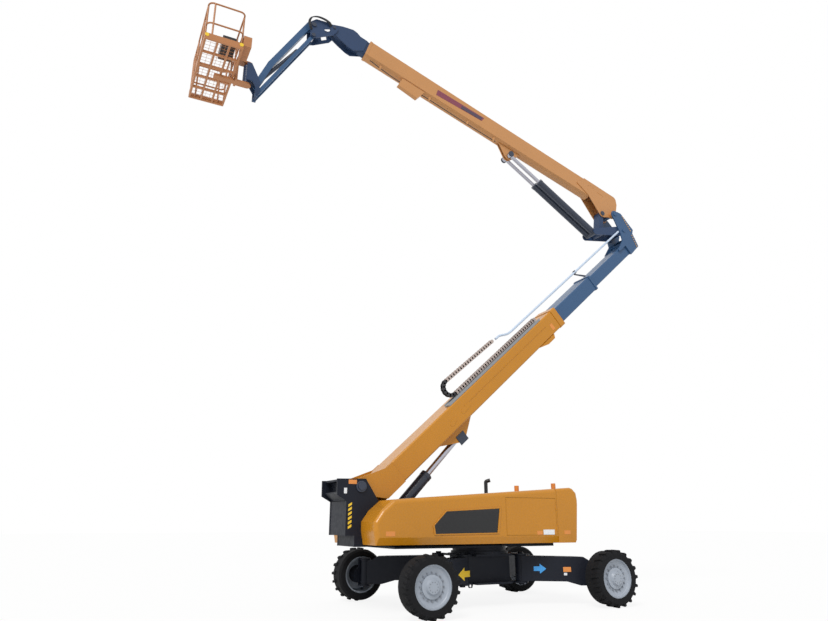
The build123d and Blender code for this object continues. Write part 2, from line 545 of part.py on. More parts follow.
mount = outline((tip_pin[0] + 20, tip_pin[1] + 110), (JIB_PIN[0], JIB_PIN[1] + 90), (JIB_PIN[0] - 90, JIB_PIN[1]),
                (jib_low[0] - 80, jib_low[1] - 20), (jib_low[0] + 20, jib_low[1] - 100), (tip_pin[0] - 250, 13270), (tip_pin[0] + 110, tip_pin[1] - 120))
jib_mount = both_sides(mount - disc(tip_pin, 40 + PIN_CLEARANCE), 150, 180)
jib_mount += between(disc(tip_pin, 75) - disc(tip_pin, 40 + PIN_CLEARANCE), -151, 151)
jib_mount += between(disc(JIB_PIN, 35), -184, 184) + both_sides(disc(jib_low, 30), 95, 184)
nodes["jib_mount"] = jib_mount
arm = between(outline(along_jib(-40, 20), along_jib(-60, 170), along_jib(JIB_LENGTH - 700, 170), along_jib(JIB_LENGTH - 700, 25), along_jib(300, 25)), -85, 85)
arm += both_sides(strap(along_jib(JIB_LENGTH - 750, 98), arm_end, 75, 70), 55, 85)
arm += between(disc(JIB_PIN, 70), -85, 85)
arm += between(outline(along_jib(-60, 0), along_jib(-60, 160), along_jib(200, 160), along_jib(120, 0)), -85, 85)
jib_foot = along_jib(JIB_LENGTH - 270, 10)
arm += between(disc(jib_foot, 22), -85, 85)
arm -= between(disc(JIB_PIN, 35 + PIN_CLEARANCE), -200, 200)
nodes["jib_arm"] = arm - between(disc(arm_end, 30 + PIN_CLEARANCE), -200, 200)
jib_strap = strap(jib_low, link_end, 45, 45) - disc(jib_low, 30 + PIN_CLEARANCE) - disc(link_end, 30 + PIN_CLEARANCE)
nodes["jib_link"] = both_sides(jib_strap, 100, 130)
foot, head = Vector(jib_foot[0], 0, jib_foot[1]), Vector(jib_low[0], 0, jib_low[1])
toward = (head - foot).normalized()
span = (head - foot).length
gland = span - 610
piston = gland - 640
jib_barrel = rod(foot + toward * 35, foot + toward * gland, 46, 36)
jib_barrel += rod(foot + toward * 35, foot + toward * 110, 44) + rod(foot + toward * (gland - 60), foot + toward * gland, 50, 26.3)
nodes["jib_barrel"] = jib_barrel + between(disc(jib_foot, 44) - disc(jib_foot, 22 + PIN_CLEARANCE), -50, 50)
jib_rod = rod(foot + toward * piston, head - toward * 25, 26) + rod(foot + toward * piston, foot + toward * (piston + 40), 35.7)
nodes["jib_rod"] = jib_rod + between(disc(jib_low, 44), -60, 60)

# --- platform bracket and rotator ---
ROTATOR_TOP = FLOOR_Z + 460
bracket = outline(
    (link_end[0] + 45, link_end[1] - 35), (arm_end[0] + 60, arm_end[1] + 20), (arm_end[0] - 20, FLOOR_Z + 200),
    (ROTATOR_X + 60, ROTATOR_TOP + 30), (ROTATOR_X - 50, ROTATOR_TOP + 30), (ROTATOR_X - 50, FLOOR_Z + 10), (ROTATOR_X + 95, FLOOR_Z + 10),
    (link_end[0] - 45, FLOOR_Z - 130), (link_end[0] - 45, link_end[1] - 35),
)
holder = both_sides(bracket, 140, 165)
holder += between(disc(arm_end, 30), -166, 166) + between(disc(link_end, 30), -166, 166)
holder += Pos(ROTATOR_X, 0, FLOOR_Z - 10) * Cylinder(105, ROTATOR_TOP - FLOOR_Z + 10, align=(Align.CENTER, Align.CENTER, Align.MIN))
holder += block(ROTATOR_X - 40, ROTATOR_X + 40, -150, 150, FLOOR_Z + 50, ROTATOR_TOP - 60)
nodes["platform_bracket"] = holder


# --- platform ---
def basket_floor():
    """Welded cross members under an open grating, kick plates round it, and the arms of the rotator."""
    x0, x1 = BASKET_X
    half = BASKET_HALF
    edge = RAIL_TUBE + 1
    frame = Part()
    for x in (x0, x0 + 265, x0 + 525, x1):
        frame += block(x - edge, x + edge, -half - edge, half + edge, FLOOR_Z, FLOOR_Z + 50)
    for k in range(6):
        y = -half + k * 2 * half / 5
        frame += block(x0, x1, y - 20, y + 20, FLOOR_Z, FLOOR_Z + 50)
    columns, rows = 7, 20
    pitch_x, pitch_y = (x1 - x0 - 50) / columns, (2 * half - 50) / rows
    mesh = Pos((x0 + x1) / 2, 0) * (
        Rectangle(x1 - x0 + 2 * edge, 2 * (half + edge)) - GridLocations(pitch_x, pitch_y, columns, rows) * Rectangle(pitch_x - 6, pitch_y - 6))
    frame += plan_plate(mesh, FLOOR_Z + 50, DECK)
    top = FLOOR_Z + KICK_HEIGHT
    for y_low, y_high in ((-half, GATE[0] - 20), (GATE[1] + 20, half)):
        frame += block(x0 - edge - 3, x0 - edge, y_low, y_high, FLOOR_Z, top)
    frame += block(x1 + edge, x1 + edge + 3, -half, half, FLOOR_Z, top)
    end_plate = block(x0, x1, half + edge, half + edge + 3, FLOOR_Z, top)
    frame += end_plate + mirror(end_plate, about=Plane.XZ)
    support = block(x0 + 380, x1 + 100, -70, 70, FLOOR_Z - 60, FLOOR_Z)
    support += both_sides(outline((x1 + 60, FLOOR_Z - 60), (x1 + 110, FLOOR_Z - 60), (x1 + 110, ROTATOR_TOP + 100), (x1 + 60, ROTATOR_TOP + 100)), 90, 140)
    low, high = FLOOR_Z - 60, ROTATOR_TOP + 60
    for z in (low, high):
        support += block(x1 + 60, ROTATOR_X, -100, 100, z, z + 40) + block(x1 + 60, x1 + 110, -140, 140, z, z + 40)
        support += plan_plate(Pos(ROTATOR_X, 0) * Circle(100), z, z + 40)
    support += plan_plate(Pos(ROTATOR_X, 0) * Circle(60), low + 40, FLOOR_Z - 10 - SEAT)
    support += plan_plate(Pos(ROTATOR_X, 0) * Circle(60), ROTATOR_TOP + SEAT, high)
    return frame + support


nodes["basket_floor"] = basket_floor()


def basket_rails():
    """Two closed-cornered loops on posts, left open for the gate in the outer side."""
    x0, x1 = BASKET_X
    half = BASKET_HALF
    top = FLOOR_Z + RAIL_HEIGHT - RAIL_TUBE
    members = []
    for z in (top, MID_RAIL_Z):
        loop = [(x0, GATE[0], z), (x0, -half, z), (x1, -half, z), (x1, half, z), (x0, half, z), (x0, GATE[1], z)]
        members.append(bent_tube(loop, RAIL_TUBE, 110))
    feet = [(x0, y) for y in (-half + 130, -500, GATE[0] + 10, GATE[1] - 10, half - 130)]
    feet += [(x1, y) for y in (-half + 130, -250, 250, half - 130)]
    feet += [(x, y) for x in (x0 + 130, x1 - 130) for y in (-half, half)]
    members += [rod((x, y, DECK), (x, y, top), RAIL_TUBE + 1) for x, y in feet]
    return members[0].fuse(*members[1:])


nodes["basket_rails"] = basket_rails()
gate_top = FLOOR_Z + RAIL_HEIGHT - RAIL_TUBE
gate = bent_tube([(BASKET_X[0], GATE[1] - 50, gate_top), (BASKET_X[0], GATE[0] + 60, gate_top),
                  (BASKET_X[0], GATE[0] + 60, FLOOR_Z + 120), (BASKET_X[0], GATE[1] - 50, FLOOR_Z + 120)], 16, 60)
gate += rod((BASKET_X[0], GATE[1] - 60, FLOOR_Z + 90), (BASKET_X[0], GATE[1] - 60, gate_top + 18), 18)
gate += rod((BASKET_X[0], GATE[1] - 60, MID_RAIL_Z), (BASKET_X[0], GATE[0] + 60, MID_RAIL_Z), 14)
for z in (FLOOR_Z + 200, gate_top - 100):
    ring = Cylinder(27, 40) - Cylinder(18 + PIN_CLEARANCE, 40)
    arm = block(BASKET_X[0] - 8, BASKET_X[0] + 8, GATE[1] - 36, GATE[1] - 10, z - 15, z + 15)
    nodes["basket_rails"] += Pos(BASKET_X[0], GATE[1] - 60, z) * ring + arm
nodes["basket_gate"] = gate
nodes["control_console"] = block(BASKET_X[1] - 330, BASKET_X[1] - RAIL_TUBE - 1 - SEAT, -300, 300, FLOOR_Z + 690, FLOOR_Z + 920)
nodes["tool_tray"] = block(BASKET_X[1] + 20, BASKET_X[1] + 200, -1090, -560, FLOOR_Z + 160, FLOOR_Z + 420) - block(
    BASKET_X[1] + 25, BASKET_X[1] + 195, -1085, -565, FLOOR_Z + 165, FLOOR_Z + 500)

os.makedirs("parts", exist_ok=True)
for name, shape in nodes.items():
    export_step(shape, f"parts/{name}.step")
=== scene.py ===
import math

import bmesh
import bpy
import numpy as np
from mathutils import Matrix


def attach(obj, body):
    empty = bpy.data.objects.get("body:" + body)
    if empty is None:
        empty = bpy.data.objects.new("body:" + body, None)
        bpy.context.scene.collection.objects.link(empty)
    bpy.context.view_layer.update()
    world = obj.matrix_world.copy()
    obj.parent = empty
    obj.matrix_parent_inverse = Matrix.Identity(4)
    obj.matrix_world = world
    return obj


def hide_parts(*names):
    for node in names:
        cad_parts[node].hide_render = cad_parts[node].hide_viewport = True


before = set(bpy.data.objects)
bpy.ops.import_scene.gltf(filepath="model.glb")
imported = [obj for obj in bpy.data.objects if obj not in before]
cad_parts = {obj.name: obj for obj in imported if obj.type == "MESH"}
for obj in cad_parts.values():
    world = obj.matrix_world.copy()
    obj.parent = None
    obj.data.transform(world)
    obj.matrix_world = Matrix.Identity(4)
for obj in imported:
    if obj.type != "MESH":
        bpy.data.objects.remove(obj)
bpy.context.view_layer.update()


# ---------------------------------------------------------------------------
# Camera, floor and light
# A person's eye stands off the platform side of the machine and looks up along the booms.
# The machine stands on a pale studio floor under a soft overcast-like light.
eye = (-8.319, -13.386, 1.703)
eye_turn, eye_tilt = 26.5, 18.1   # degrees from +Y towards +X, and upwards
camera_data = bpy.data.cameras.new("camera")
camera_data.sensor_width = 36
camera_data.lens = 28.26
camera = bpy.data.objects.new("camera", camera_data)
camera.location = eye
camera.rotation_euler = (math.radians(90 + eye_tilt), 0, math.radians(-eye_turn))
bpy.context.scene.collection.objects.link(camera)
bpy.context.scene.camera = camera
bpy.context.scene.view_settings.view_transform = "Standard"


def linear(colour):
    """An sRGB hex colour as linear RGBA: each channel is divided by 12.92 near black, else raised to 2.4."""
    channels = [int(colour[i:i + 2], 16) / 255 for i in (1, 3, 5)]
    return (*[c / 12.92 if c <= 0.04045 else ((c + 0.055) / 1.055) ** 2.4 for c in channels], 1)


def add(tree, kind, sockets=None, **settings):
    """Adds one node. A socket's value is a number or colour, or another node's output to link."""
    node = tree.nodes.new(kind)
    for setting, value in settings.items():
        setattr(node, setting, value)
    for socket, value in (sockets or {}).items():
        if isinstance(value, bpy.types.NodeSocket):
            tree.links.new(value, node.inputs[socket])
        else:
            node.inputs[socket].default_value = value
    return node


def empty_material(name):
    """A material with a bare node tree."""
    material = bpy.data.materials.new(name)
    material.use_nodes = True
    material.node_tree.nodes.clear()
    return material


def shown_to_eye(tree):
    """1 where a camera, mirror or glass ray looks at the background, 0 where light bounces."""
    ray = add(tree, "ShaderNodeLightPath")
    seen = add(tree, "ShaderNodeMath", {0: ray.outputs["Is Camera Ray"], 1: ray.outputs["Is Glossy Ray"]},
               operation="MAXIMUM")
    both = add(tree, "ShaderNodeMath", {0: seen.outputs[0], 1: ray.outputs["Is Transmission Ray"]},
               operation="MAXIMUM")
    return both.outputs[0]


world = bpy.data.worlds.new("studio")
bpy.context.scene.world = world
world.use_nodes = True
sky = world.node_tree
sky.nodes.clear()
sky_light = add(sky, "ShaderNodeBackground", {"Color": linear("#EEF2F6"), "Strength": 0.62})
sky_seen = add(sky, "ShaderNodeBackground", {"Color": (1, 1, 1, 1), "Strength": 1.0})
sky_mix = add(sky, "ShaderNodeMixShader",
              {0: shown_to_eye(sky), 1: sky_light.outputs[0], 2: sky_seen.outputs[0]})
add(sky, "ShaderNodeOutputWorld", {"Surface": sky_mix.outputs[0]})

floor_half = 120.0   # metres from the floor's middle to each edge
floor_corners = [(x * floor_half, y * floor_half, 0) for x, y in ((-1, -1), (1, -1), (1, 1), (-1, 1))]
floor_mesh = bpy.data.meshes.new("floor")
floor_mesh.from_pydata(floor_corners, [], [(0, 1, 2, 3)])
floor = bpy.data.objects.new("floor", floor_mesh)
bpy.context.scene.collection.objects.link(floor)
concrete = empty_material("pale_floor")
paint = add(concrete.node_tree, "ShaderNodeBsdfDiffuse", {"Color": linear("#F1F1EF")})
white = add(concrete.node_tree, "ShaderNodeEmission", {"Color": (1, 1, 1, 1), "Strength": 1.0})
ray = add(concrete.node_tree, "ShaderNodeLightPath")
floor_whiteness = 0.88   # share of plain white in what a camera ray sees of the floor
lift = add(concrete.node_tree, "ShaderNodeMath", {0: ray.outputs["Is Camera Ray"], 1: floor_whiteness},
           operation="MULTIPLY")
blend = add(concrete.node_tree, "ShaderNodeMixShader",
            {0: lift.outputs[0], 1: paint.outputs[0], 2: white.outputs[0]})
add(concrete.node_tree, "ShaderNodeOutputMaterial", {"Surface": blend.outputs[0]})
floor_mesh.materials.append(concrete)

sun_data = bpy.data.lights.new("daylight", "SUN")
sun_data.energy = 2.2
sun_data.angle = math.radians(25)
sun_data.color = (1.0, 0.98, 0.95)
sun = bpy.data.objects.new("daylight", sun_data)
sun.rotation_euler = (math.radians(42), math.radians(-14), math.radians(-30))
bpy.context.scene.collection.objects.link(sun)


# ---------------------------------------------------------------------------
# Chassis, swing arms and knuckles
# Welded steel plate, shot-blasted and sprayed in a dark charcoal enamel, with dried dust on its upper faces.
# The frame carries the slewing bearing; the four arms turn on vertical pins and end in the steering knuckles.
def enamelled_steel(name, colour, roughness=0.38, dust=0.12, dust_colour="#B9B2A6", gloss=0.5):
    """Sprayed enamel on steel plate: slight orange peel, slow changes of tone, and dust lying on top."""
    material = empty_material(name)
    tree = material.node_tree
    place = add(tree, "ShaderNodeTexCoord").outputs["Object"]
    # tone drifts over about 700 mm
    drift = add(tree, "ShaderNodeTexNoise",
                {"Vector": place, "Scale": 1 / 0.7, "Detail": 4.0, "Roughness": 0.6})
    base = linear(colour)
    darker = (*[channel * 0.86 for channel in base[:3]], 1)
    tone = add(tree, "ShaderNodeMix", {"Factor": drift.outputs[0], 6: darker, 7: base}, data_type="RGBA")
    # dust patches of about 90 mm, on faces that look up
    patch = add(tree, "ShaderNodeTexNoise",
                {"Vector": place, "Scale": 1 / 0.09, "Detail": 6.0, "Roughness": 0.65})
    facing = add(tree, "ShaderNodeSeparateXYZ", {0: add(tree, "ShaderNodeNewGeometry").outputs["Normal"]})
    upward = add(tree, "ShaderNodeMapRange", {"Value": facing.outputs["Z"], "From Min": 0.2, "From Max": 1.0,
                                              "To Min": 0.15, "To Max": 1.0})
    lying = add(tree, "ShaderNodeMath", {0: upward.outputs[0], 1: patch.outputs[0]}, operation="MULTIPLY")
    amount = add(tree, "ShaderNodeMath", {0: lying.outputs[0], 1: dust * 2}, operation="MULTIPLY")
    dusty = add(tree, "ShaderNodeMix",
                {"Factor": amount.outputs[0], 6: tone.outputs[2], 7: linear(dust_colour)}, data_type="RGBA")
    shine = add(tree, "ShaderNodeMapRange", {"Value": patch.outputs[0], "From Min": 0.3, "From Max": 0.7,
                                             "To Min": roughness - 0.06, "To Max": roughness + 0.10})
    # orange peel is 2 mm in life and drawn at 12 mm so that it shows
    peel = add(tree, "ShaderNodeTexNoise", {"Vector": place, "Scale": 1 / 0.012, "Detail": 2.0})
    skin = add(tree, "ShaderNodeBump", {"Height": peel.outputs[0], "Strength": 0.05, "Distance": 0.004})
    shader = add(tree, "ShaderNodeBsdfPrincipled", {
        "Base Color": dusty.outputs[2], "Roughness": shine.outputs[0], "Normal": skin.outputs[0], "IOR": 1.5,
        "Specular IOR Level": gloss})
    add(tree, "ShaderNodeOutputMaterial", {"Surface": shader.outputs[0]})
    return material


def dress(material, *nodes):
    """Gives CAD nodes their material."""
    for node in nodes:
        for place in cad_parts[node].material_slots:
            place.material = material


def walls_and_caps(count):
    """Faces between two copies of an outline of so many points: a wall on each side, a cap on each end."""
    k = np.arange(count)
    walls = np.column_stack([k, (k + 1) % count, (k + 1) % count + count, k + count]).tolist()
    return walls + [k[::-1].tolist(), (k + count).tolist()]


def plate(side, y_low, y_high):
    """A side view of x and z carried across from one y to another: two outlines, walls and two caps."""
    side = np.asarray(side, float)
    low = np.column_stack([side[:, 0], np.full(len(side), y_low), side[:, 1]])
    high = low + [0, y_high - y_low, 0]
    return np.concatenate([low, high]), walls_and_caps(len(side))


def pair(side, y_low, y_high):
    """The same plate on the near and the far side."""
    return together(plate(side, y_low, y_high), plate(side, -y_high, -y_low))


def together(*parts):
    """One array of points and one list of faces, each part's faces moved on by the points before it."""
    starts = np.cumsum([0] + [len(points) for points, _ in parts[:-1]]).tolist()
    faces = [[corner + start for corner in face] for (_, part), start in zip(parts, starts) for face in part]
    return np.concatenate([points for points, _ in parts]), faces


def round_side(centre, radius, count=36):
    """A circle as a side view: its centre plus the radius times the cosine and sine of even steps."""
    turn = np.linspace(0, 2 * np.pi, count, endpoint=False)
    return np.asarray(centre) + radius * np.column_stack([np.cos(turn), np.sin(turn)])


def as_mesh(name, part):
    """A mesh of a part, its faces looking outwards."""
    mesh = bpy.data.meshes.new(name)
    mesh.from_pydata(part[0].tolist(), [], part[1])
    shell = bmesh.new()
    shell.from_mesh(mesh)
    bmesh.ops.recalc_face_normals(shell, faces=shell.faces)
    shell.to_mesh(mesh)
    shell.free()
    return mesh


cutter_reach = 3.0   # metres a bore's cutter goes to each side, well past the machine's half width


def piece(name, part, material, body, edge=0.0, bores=()):
    """A finished piece on a body: bores are side views cut right through, edge is its rounding's width."""
    made = bpy.data.objects.new(name, as_mesh(name, part))
    bpy.context.scene.collection.objects.link(made)
    for bore in bores:
        cutter = bpy.data.objects.new("cutter", as_mesh("cutter", plate(bore, -cutter_reach, cutter_reach)))
        bpy.context.scene.collection.objects.link(cutter)
        drill = made.modifiers.new("bore", "BOOLEAN")
        drill.operation = "DIFFERENCE"
        drill.solver = "EXACT"
        drill.object = cutter
        made.data = bpy.data.meshes.new_from_object(made.evaluated_get(bpy.context.evaluated_depsgraph_get()))
        made.modifiers.clear()
        bpy.data.objects.remove(cutter)
    made.data.materials.clear()
    made.data.materials.append(material)
    if edge:
        rounding = made.modifiers.new("rounded_edges", "BEVEL")
        rounding.width = edge
        rounding.segments = 2
        rounding.limit_method = "ANGLE"
        rounding.angle_limit = math.radians(35)
    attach(made, body)
    return made


corners = ("front_far", "front_near", "rear_far", "rear_near")
charcoal = enamelled_steel("charcoal_enamel", "#171B26", roughness=0.46, dust=0.02, gloss=0.2)
dress(charcoal, "chassis_frame", "slew_bearing")
for corner in corners:
    dress(charcoal, f"swing_arm_{corner}", f"knuckle_{corner}")


arm_hinge = (0.76, 0.52)        # x and y from the slewing axis
arm_run = (0.8758, 0.4830)      # a metre along an arm in x and y
arm_half_width = 0.1505         # at the hinge
arm_taper = 0.0111              # lost from the half width in each metre out


def on_arm(end, marks, lift):
    """Marks on a near arm's outer face: metres out from the hinge and up, along its slanting face."""
    marks = np.asarray(marks, float)
    along = np.array((end * arm_run[0], -arm_run[1], 0.0))
    outward = np.array((-end * arm_run[1], -arm_run[0], 0.0))
    hinge = np.array((end * arm_hinge[0], -arm_hinge[1], 0.0))
    return (hinge + marks[:, :1] * along + [0, 0, 1] * marks[:, 1:]
            + (arm_half_width - arm_taper * marks[:, :1] + lift) * outward)


film_back, film_front = 0.001, 0.003   # how far a film's two faces stand off the steel


def arm_mark(name, end, marks, material):
    """A thin printed film on a near arm: its outline just off the steel and again a film's thickness out."""
    points = np.concatenate([on_arm(end, marks, film_back), on_arm(end, marks, film_front)])
    corner = "front_near" if end > 0 else "rear_near"
    return piece(name, (points, walls_and_caps(len(marks))), material, f"swing_arm_{corner}")


def printed_film(name, colour):
    """Calendered vinyl film: a smooth print with a faint clouding over some 50 mm where it has weathered."""
    material = empty_material(name)
    tree = material.node_tree
    place = add(tree, "ShaderNodeTexCoord").outputs["Object"]
    cloud = add(tree, "ShaderNodeTexNoise", {"Vector": place, "Scale": 1 / 0.05, "Detail": 4.0})
    base = linear(colour)
    faded = (*[channel * 0.8 + 0.06 for channel in base[:3]], 1)
    tone = add(tree, "ShaderNodeMix", {"Factor": cloud.outputs[0], 6: base, 7: faded}, data_type="RGBA")
    shader = add(tree, "ShaderNodeBsdfPrincipled",
                 {"Base Color": tone.outputs[2], "Roughness": 0.35, "IOR": 1.46})
    add(tree, "ShaderNodeOutputMaterial", {"Surface": shader.outputs[0]})
    return material


yellow_film = printed_film("yellow_film", "#F2C811")
blue_film = printed_film("blue_film", "#2E9BE6")
orange_film = printed_film("orange_film", "#E0892F")
white_film = printed_film("white_film", "#E9EBEE")
arrow = np.array([(0, 0.13), (0.24, 0.0), (0.24, 0.07), (0.46, 0.07), (0.46, 0.19), (0.24, 0.19),
                  (0.24, 0.26)])
arm_mark("arrow_left", -1, arrow * (-1, 1) + (0.40, 0.55), yellow_film)
arm_mark("arrow_right", 1, arrow * (-0.6, 0.8) + (0.54, 0.64), blue_film)
card = np.array([(0, 0), (1, 0), (1, 1), (0, 1)])
arm_mark("arm_card", 1, card * (0.17, 0.10) + (0.91, 0.68), orange_film)
arm_mark("arm_card_white", 1, card * (0.07, 0.05) + (0.92, 0.61), white_film)


# ---------------------------------------------------------------------------
# Wheels
# Foam-filled tyres with cross-ply block lugs on pressed steel rims, which are sprayed in a light grey enamel.
# Each rim is bolted to the hub drive of its knuckle.
def tyre_rubber():
    """Black natural rubber, dull, with grey dust rubbed into it in patches of some 60 mm."""
    material = empty_material("tyre_rubber")
    tree = material.node_tree
    place = add(tree, "ShaderNodeTexCoord").outputs["Object"]
    patch = add(tree, "ShaderNodeTexNoise",
                {"Vector": place, "Scale": 1 / 0.06, "Detail": 8.0, "Roughness": 0.7})
    tone = add(tree, "ShaderNodeMix",
               {"Factor": patch.outputs[0], 6: linear("#0B0C0E"), 7: linear("#1C1C1F")}, data_type="RGBA")
    grain = add(tree, "ShaderNodeTexNoise", {"Vector": place, "Scale": 1 / 0.006, "Detail": 3.0})
    skin = add(tree, "ShaderNodeBump", {"Height": grain.outputs[0], "Strength": 0.25, "Distance": 0.003})
    shader = add(tree, "ShaderNodeBsdfPrincipled", {
        "Base Color": tone.outputs[2], "Roughness": 0.85, "Normal": skin.outputs[0], "IOR": 1.52,
        "Specular IOR Level": 0.2})
    add(tree, "ShaderNodeOutputMaterial", {"Surface": shader.outputs[0]})
    return material


rubber = tyre_rubber()
rim_grey = enamelled_steel("light_grey_enamel", "#9FA7B3", roughness=0.34, dust=0.10, dust_colour="#8E8A84")
for corner in corners:
    dress(rubber, f"tyre_{corner}")
    dress(rim_grey, f"rim_{corner}")


def bolt_circle(centre, ring, count, radius, y_low, y_high):
    """Hexagon heads spaced evenly round a circle: a six-sided plate at each step of the turn."""
    return together(*[plate(round_side(place, radius, 6), y_low, y_high)
                      for place in round_side(centre, ring, count)])


zinc_bolt = enamelled_steel("zinc_plated_bolt", "#7C828C", roughness=0.3, dust=0.15)
half_wheel_base = 2.22
axle_height = 0.5775
# piece, circle's radius, number, a head's radius, and how far out its two faces lie from the machine's middle
wheel_bolts = (("wheel_nuts", 0.247, 16, 0.017, 1.880, 1.912), ("hub_bolts", 0.088, 10, 0.012, 1.970, 1.9768))
for corner in corners:
    middle = (half_wheel_base if "front" in corner else -half_wheel_base, axle_height)
    out = 1 if "far" in corner else -1
    for bolts, ring, count, radius, inner, outer in wheel_bolts:
        y_low, y_high = sorted((out * inner, out * outer))
        piece(f"{bolts}_{corner}", bolt_circle(middle, ring, count, radius, y_low, y_high), zinc_bolt,
              f"wheel_{corner}")


# ---------------------------------------------------------------------------
# Turntable
# Two thick pivot plates and the deck between them, in the chassis enamel; the tower's pin goes through.
# The control cabinet hangs on the front of the plates.
dress(charcoal, "turntable_frame", "front_box")


def on_face(side, face, front=film_front, back=film_back):
    """A side view laid on a face of the near side: its two sides stand off that face by front and back."""
    return plate(side, face - front, face - back)


tower_foot = np.array((-3.104, 2.417))   # the tower's pin, x and z
plate_face = -0.490
steel_blue = enamelled_steel("dark_blue_enamel", "#2C3547", roughness=0.32, dust=0.04)
piece("pivot_cap", together(on_face(round_side(tower_foot, 0.115), plate_face, 0.030, 0.001),
                            on_face(round_side(tower_foot, 0.075), plate_face, 0.060, 0.031)),
      steel_blue, "turntable", edge=0.006)
slant = np.array([(0, 0), (0.075, 0.045), (0.075, 0.095), (0, 0.05)])
stripe_count, stripe_step = 6, 0.085
stripes = [on_face(slant + (-3.375, 1.585 + step * stripe_step), plate_face) for step in range(stripe_count)]
piece("hazard_stripes", together(*stripes), yellow_film, "turntable")
piece("pivot_card", on_face(card * (0.18, 0.085) + (-3.385, 2.465), plate_face), orange_film, "turntable")
piece("pivot_tag", on_face(card * (0.065, 0.11) + (-3.480, 2.275), plate_face), white_film, "turntable")


# ---------------------------------------------------------------------------
# Hoods, doors and counterweight
# Pressed steel covers sprayed in an orange-yellow gloss enamel; the counterweight is a casting in the same.
# Black slats close a framed window in the near cover, over a black sheet of painted shade, and each side has
# a hinged door.
orange = enamelled_steel("orange_enamel", "#C28014", roughness=0.24, dust=0.02, dust_colour="#E2D6BE")
dress(orange, "hood_near", "hood_far", "hood_door_near", "hood_door_far", "tail_weight")
galvanised = enamelled_steel("zinc_plated_steel", "#8F9296", roughness=0.40, dust=0.08)
black = enamelled_steel("black_enamel", "#15161A", roughness=0.36, dust=0.04)
dress(black, "engine_block", "control_console", "exhaust")
hood_face = -1.215
window = np.array([(-1.797, 1.466), (-0.243, 1.487), (-0.165, 2.028), (-1.527, 1.949), (-1.825, 1.650)])
window_middle = window.mean(axis=0)
rim_outer, rim_inner = window, window_middle + (window - window_middle) * (0.95, 0.90)
back_front = 0.004   # how far the window's black back, a sheet of painted shade, stands off the hood
piece("window_rim", on_face(rim_outer, hood_face, 0.016, 0.001), orange, "turntable", edge=0.005,
      bores=[rim_inner])
# the window's back is a black sheet of painted shade, for the dark inside that shows between the slats
piece("window_painted_shade", on_face(rim_inner * 0.998 + window_middle * 0.002, hood_face, back_front, 0.001), black,
      "turntable")
slat_pitch, slat_height, slat_gap = 0.042, 0.018, 0.012


def bar(start, end, low, high):
    """An upright rectangle as a side view, from its two ends and its two levels."""
    return [(start, low), (end, low), (end, high), (start, high)]


def slat_ends(height):
    """Where a level line meets the window's inner edge: each side's crossing, as a share of its rise."""
    start, end = rim_inner, np.roll(rim_inner, -1, axis=0)
    share = (height - start[:, 1]) / (end[:, 1] - start[:, 1])
    crossing = start[:, 0] + share * (end[:, 0] - start[:, 0])
    inside = (share >= 0) & (share <= 1)
    return crossing[inside].min() + slat_gap, crossing[inside].max() - slat_gap


slats = []
for height in np.arange(1.530, 1.930, slat_pitch):
    left, right = slat_ends(height)
    slats.append(on_face(bar(left, right, height, height + slat_height), hood_face, 0.012, back_front))
piece("window_slats", together(*slats), black, "turntable")
# x, z, width, height, film and body
hood_cards = ((-2.86, 1.455, 0.20, 0.09, orange_film, "turntable"),
              (0.745, 1.460, 0.14, 0.08, orange_film, "door_near"),
              (0.915, 1.460, 0.30, 0.105, white_film, "door_near"),
              (1.485, 1.465, 0.17, 0.08, orange_film, "turntable"))
for number, (x, z, width, height, film, body) in enumerate(hood_cards):
    piece(f"hood_card_{number}", on_face(card * (width, height) + (x, z), hood_face), film, body)
amber = enamelled_steel("amber_lens", "#D9822B", roughness=0.2, dust=0.03)
dress(amber, "beacons")


# ---------------------------------------------------------------------------
# Tower boom and its cylinder
# A welded box beam and two inner beams that slide out of it; the base is orange, the inner ones slate blue.
# The base's near side has a pressed swage line and two long welded pads; the cylinder's lug has a flat cover.
tower_turn = math.radians(41.8)


def on_tower(side):
    """A side view of the tower turned by its angle about its pivot: u along the beam, v square to it."""
    u, v = np.asarray(side, float).T
    return tower_foot + np.column_stack([u * math.cos(tower_turn) - v * math.sin(tower_turn),
                                         u * math.sin(tower_turn) + v * math.cos(tower_turn)])


def slot_side(start, end, radius, count=8):
    """A long hole's outline: half a circle round each of its two ends."""
    start, end = np.asarray(start, float), np.asarray(end, float)
    heading = math.atan2(end[1] - start[1], end[0] - start[0])
    sweep = np.linspace(-np.pi / 2, np.pi / 2, count)
    ends = [centre + radius * np.column_stack([np.cos(sweep + turn), np.sin(sweep + turn)])
            for centre, turn in ((end, heading), (start, heading + np.pi))]
    return np.concatenate(ends)


dress(orange, "tower_base")
blue = enamelled_steel("slate_blue_enamel", "#37587E", roughness=0.30, dust=0.03, gloss=0.35)
# the slate blue darkened: painted shade on the yoke, elbow link, boom tip, jib mount and platform bracket
dark_blue = enamelled_steel("shaded_blue_enamel", "#2C4162", roughness=0.36, dust=0.03, gloss=0.3)
dress(blue, "tower_mid", "tower_head", "jib_arm", "jib_link")
dress(dark_blue, "elbow_yoke")
dress(steel_blue, "tower_lift_barrel", "main_lift_barrels", "jib_barrel")
beam_face = -0.340
weld_gap = 0.0005   # between a pressed or welded detail and the face it lies on
swage_side = on_tower([(3.20, -0.320), (6.60, -0.310), (6.60, -0.322), (3.20, -0.332)])
piece("tower_swage", on_face(swage_side, beam_face, 0.006, weld_gap), orange, "tower_base", edge=0.002)
slots = [on_face(on_tower(slot_side(start, end, 0.055)), beam_face, 0.005, weld_gap)
         for start, end in (((2.66, -0.44), (2.80, -0.40)), ((3.10, -0.40), (3.34, -0.375)))]
piece("tower_lug_slots", together(*slots), orange, "tower_base", edge=0.002)
piece("lug_cover", plate(on_tower(bar(2.60, 2.86, -0.99, -0.76)), -0.200, -0.186), steel_blue, "tower_base",
      edge=0.004)
piece("tower_card", on_face(on_tower(card * (0.10, 0.17) + (6.74, -0.53)), beam_face), orange_film,
      "tower_base")


